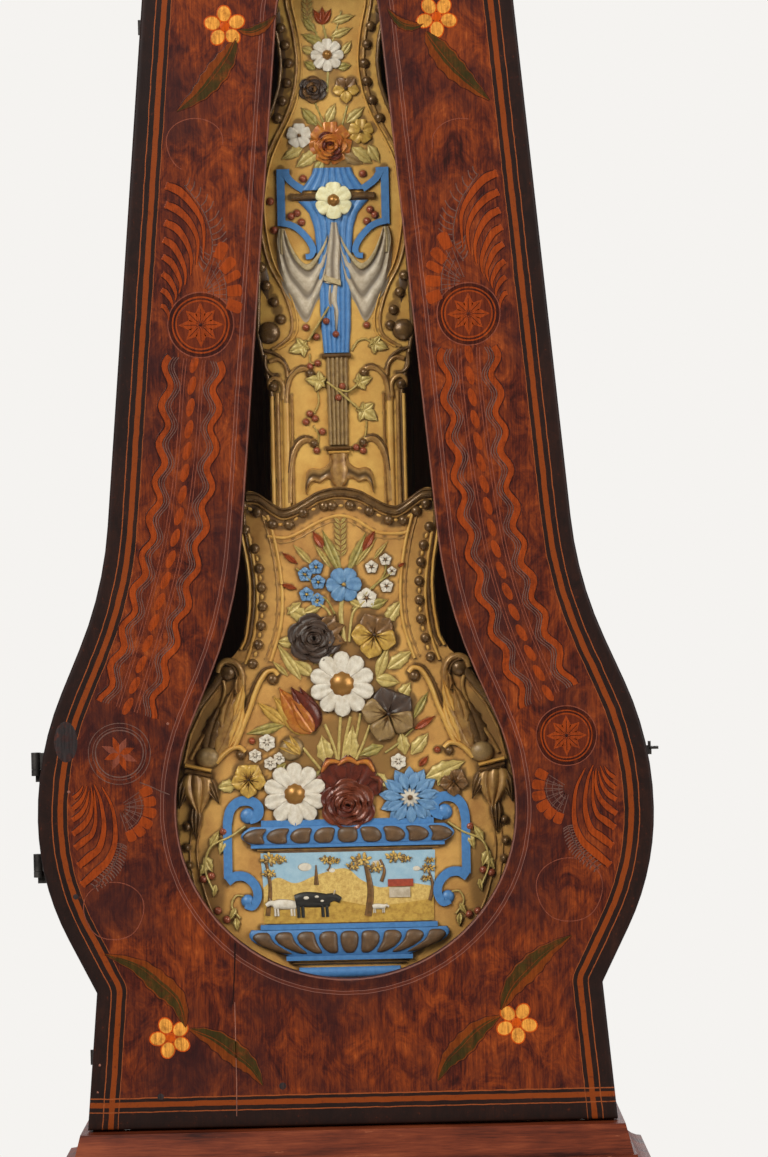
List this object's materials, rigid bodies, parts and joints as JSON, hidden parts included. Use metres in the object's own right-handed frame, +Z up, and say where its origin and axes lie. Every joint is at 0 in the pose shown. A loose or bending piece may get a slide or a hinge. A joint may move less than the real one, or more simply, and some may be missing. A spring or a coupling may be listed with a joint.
{
  "type": "tall case clock",
  "caption": "Weight-driven tall case clock: violin-shaped trunk door with a shaped window, box plinth, sliding hood, wide pressed-metal pendulum, iron-cage movement with bell.",
  "frame": {"origin": "on the floor, under the middle of the clock's overall box", "axes": "+Z up, the front faces -Y, +X to the right of a person who looks at the dial"},
  "size_m": [0.61, 0.29, 2.184],
  "materials": {
    "varnished_pine": "reddish-brown varnish over pine, worn at the edges",
    "raw_pine": "unfinished pine",
    "dark_varnish": "dark brown varnish",
    "painted_burl": "painted to look like red burl, semi-gloss varnish",
    "wrought_iron": "forged, dull",
    "cast_iron_weight": "cast, dull black",
    "brass": "old, satin",
    "pressed_brass": "pressed thin sheet, old gold lacquer",
    "bell_metal": "turned",
    "white_enamel": "glossy white",
    "window_glass": "clear",
    "hemp_rope": "laid rope"
  },
  "bodies": {
    "case": {"plinth_front": "varnished_pine", "plinth_side_left": "varnished_pine", "plinth_side_right": "varnished_pine", "plinth_back": "raw_pine", "plinth_floor": "raw_pine", "skirting": "dark_varnish", "plinth_moulding": "varnished_pine", "trunk_side_left": "varnished_pine", "trunk_side_right": "varnished_pine", "back_board": "raw_pine", "head_rail": "painted_burl", "neck_moulding": "dark_varnish", "seat_board": "raw_pine", "case_irons": "wrought_iron", "cage_bottom_plate": "wrought_iron", "cage_top_plate": "wrought_iron", "cage_pillars": "wrought_iron", "train_bars": "wrought_iron", "suspension_cock": "wrought_iron", "dial_surround": "pressed_brass", "enamel_dial": "white_enamel", "dial_feet": "wrought_iron", "bell": "bell_metal", "bell_stand": "wrought_iron", "going_rope": "hemp_rope", "strike_rope": "hemp_rope"},
    "trunk_door": {"trunk_door": "painted_burl", "window_glass": "window_glass", "door_hinges": "wrought_iron", "catch_keep": "wrought_iron"},
    "catch": {"door_catch": "wrought_iron"},
    "hood": {"hood_side_left": "varnished_pine", "hood_side_right": "varnished_pine", "hood_front_frame": "painted_burl", "hood_roof": "raw_pine", "hood_cornice": "dark_varnish", "hood_crest": "painted_burl", "hood_pintles": "wrought_iron"},
    "hood_door": {"hood_door_frame": "painted_burl", "hood_door_hinges": "brass", "hood_glass": "window_glass", "hood_door_knob": "brass"},
    "minute_hand": {"minute_hand": "brass"},
    "hour_hand": {"hour_hand": "brass"},
    "motion_wheel": {"motion_wheel": "brass"},
    "going_great_wheel": {"going_great_wheel": "brass"},
    "second_wheel": {"second_wheel": "brass"},
    "third_wheel": {"third_wheel": "brass"},
    "escape_wheel": {"escape_wheel": "brass"},
    "strike_great_wheel": {"strike_great_wheel": "brass"},
    "pin_wheel": {"pin_wheel": "brass"},
    "pendulum": {"pendulum_rod": "wrought_iron", "upper_pendulum_plate": "pressed_brass", "lower_pendulum_plate": "pressed_brass"},
    "anchor": {"anchor": "wrought_iron"},
    "hammer": {"bell_hammer": "wrought_iron"},
    "going_weight": {"going_weight": "cast_iron_weight"},
    "going_barrel": {"going_barrel": "brass"},
    "strike_weight": {"strike_weight": "cast_iron_weight"},
    "strike_barrel": {"strike_barrel": "brass"}
  },
  "joints": [
    {"name": "trunk_door_hinge", "type": "hinge", "parent": "case", "child": "trunk_door", "pos_m": [-0.292, -0.06035, 0.724], "axis": [0, 0, -1], "range_deg": [0, 95]},
    {"name": "catch_turn", "type": "hinge", "parent": "case", "child": "catch", "pos_m": [0.2821, -0.0432, 0.77795], "axis": [-1, 0, 0], "range_deg": [0, 90]},
    {"name": "hood_slide", "type": "slide", "parent": "case", "child": "hood", "axis": [0, -1, 0], "range_m": [0, 0.22]},
    {"name": "hood_door_hinge", "type": "hinge", "parent": "hood", "child": "hood_door", "pos_m": [-0.16595, -0.1237, 1.8], "axis": [0, 0, -1], "range_deg": [0, 120]},
    {"name": "minute_hand_turn", "type": "hinge", "parent": "case", "child": "minute_hand", "pos_m": [0, -0.0885, 1.8], "axis": [0, 1, 0], "continuous": true},
    {"name": "hour_hand_turn", "type": "hinge", "parent": "case", "child": "hour_hand", "pos_m": [0, -0.0885, 1.8], "axis": [0, 1, 0], "continuous": true},
    {"name": "motion_wheel_turn", "type": "hinge", "parent": "case", "child": "motion_wheel", "pos_m": [0, -0.022, 1.7677], "axis": [0, 1, 0], "continuous": true},
    {"name": "going_great_wheel_turn", "type": "hinge", "parent": "case", "child": "going_great_wheel", "pos_m": [0.048, 0.105, 1.698], "axis": [0, 1, 0], "continuous": true},
    {"name": "second_wheel_turn", "type": "hinge", "parent": "case", "child": "second_wheel", "pos_m": [0.048, 0.11, 1.7513], "axis": [0, 1, 0], "continuous": true},
    {"name": "third_wheel_turn", "type": "hinge", "parent": "case", "child": "third_wheel", "pos_m": [0.048, 0.115, 1.8036], "axis": [0, 1, 0], "continuous": true},
    {"name": "escape_wheel_turn", "type": "hinge", "parent": "case", "child": "escape_wheel", "pos_m": [0, 0.008, 1.82437], "axis": [0, 1, 0], "continuous": true},
    {"name": "strike_great_wheel_turn", "type": "hinge", "parent": "case", "child": "strike_great_wheel", "pos_m": [-0.048, 0.105, 1.698], "axis": [0, 1, 0], "continuous": true},
    {"name": "pin_wheel_turn", "type": "hinge", "parent": "case", "child": "pin_wheel", "pos_m": [-0.048, 0.11, 1.7513], "axis": [0, 1, 0], "continuous": true},
    {"name": "pendulum_swing", "type": "hinge", "parent": "case", "child": "pendulum", "pos_m": [0, -0.032, 1.86437], "axis": [0, 1, 0], "range_deg": [-2, 2]},
    {"name": "anchor_rock", "type": "hinge", "parent": "case", "child": "anchor", "pos_m": [0, 0.008, 1.86437], "axis": [0, 1, 0], "range_deg": [-2, 2]},
    {"name": "hammer_lift", "type": "hinge", "parent": "case", "child": "hammer", "pos_m": [-0.085, 0.0565, 1.88], "axis": [0, -1, 0], "range_deg": [0, 20]},
    {"name": "going_weight_lift", "type": "slide", "parent": "case", "child": "going_weight", "axis": [0, 0, 1], "range_m": [0, 1.2], "deforming": ["going_rope"]},
    {"name": "going_barrel_turn", "type": "hinge", "parent": "case", "child": "going_barrel", "pos_m": [0.048, 0.063, 1.698], "axis": [0, -1, 0], "range_deg": [0, 2900]},
    {"name": "strike_weight_lift", "type": "slide", "parent": "case", "child": "strike_weight", "axis": [0, 0, 1], "range_m": [0, 1.2], "deforming": ["strike_rope"]},
    {"name": "strike_barrel_turn", "type": "hinge", "parent": "case", "child": "strike_barrel", "pos_m": [-0.048, 0.063, 1.698], "axis": [0, 1, 0], "range_deg": [0, 2900]}
  ],
  "couplings": [
    {"joint": "hour_hand_turn", "follows": "minute_hand_turn", "ratio": 0.083333},
    {"joint": "motion_wheel_turn", "follows": "minute_hand_turn", "ratio": -0.33333},
    {"joint": "second_wheel_turn", "follows": "going_great_wheel_turn", "ratio": -9},
    {"joint": "third_wheel_turn", "follows": "going_great_wheel_turn", "ratio": 72},
    {"joint": "escape_wheel_turn", "follows": "going_great_wheel_turn", "ratio": -540},
    {"joint": "pin_wheel_turn", "follows": "strike_great_wheel_turn", "ratio": -9},
    {"joint": "anchor_rock", "follows": "pendulum_swing", "ratio": 1},
    {"joint": "going_barrel_turn", "follows": "going_weight_lift", "rad_per_m": 41.667},
    {"joint": "strike_barrel_turn", "follows": "strike_weight_lift", "rad_per_m": 41.667}
  ]
}
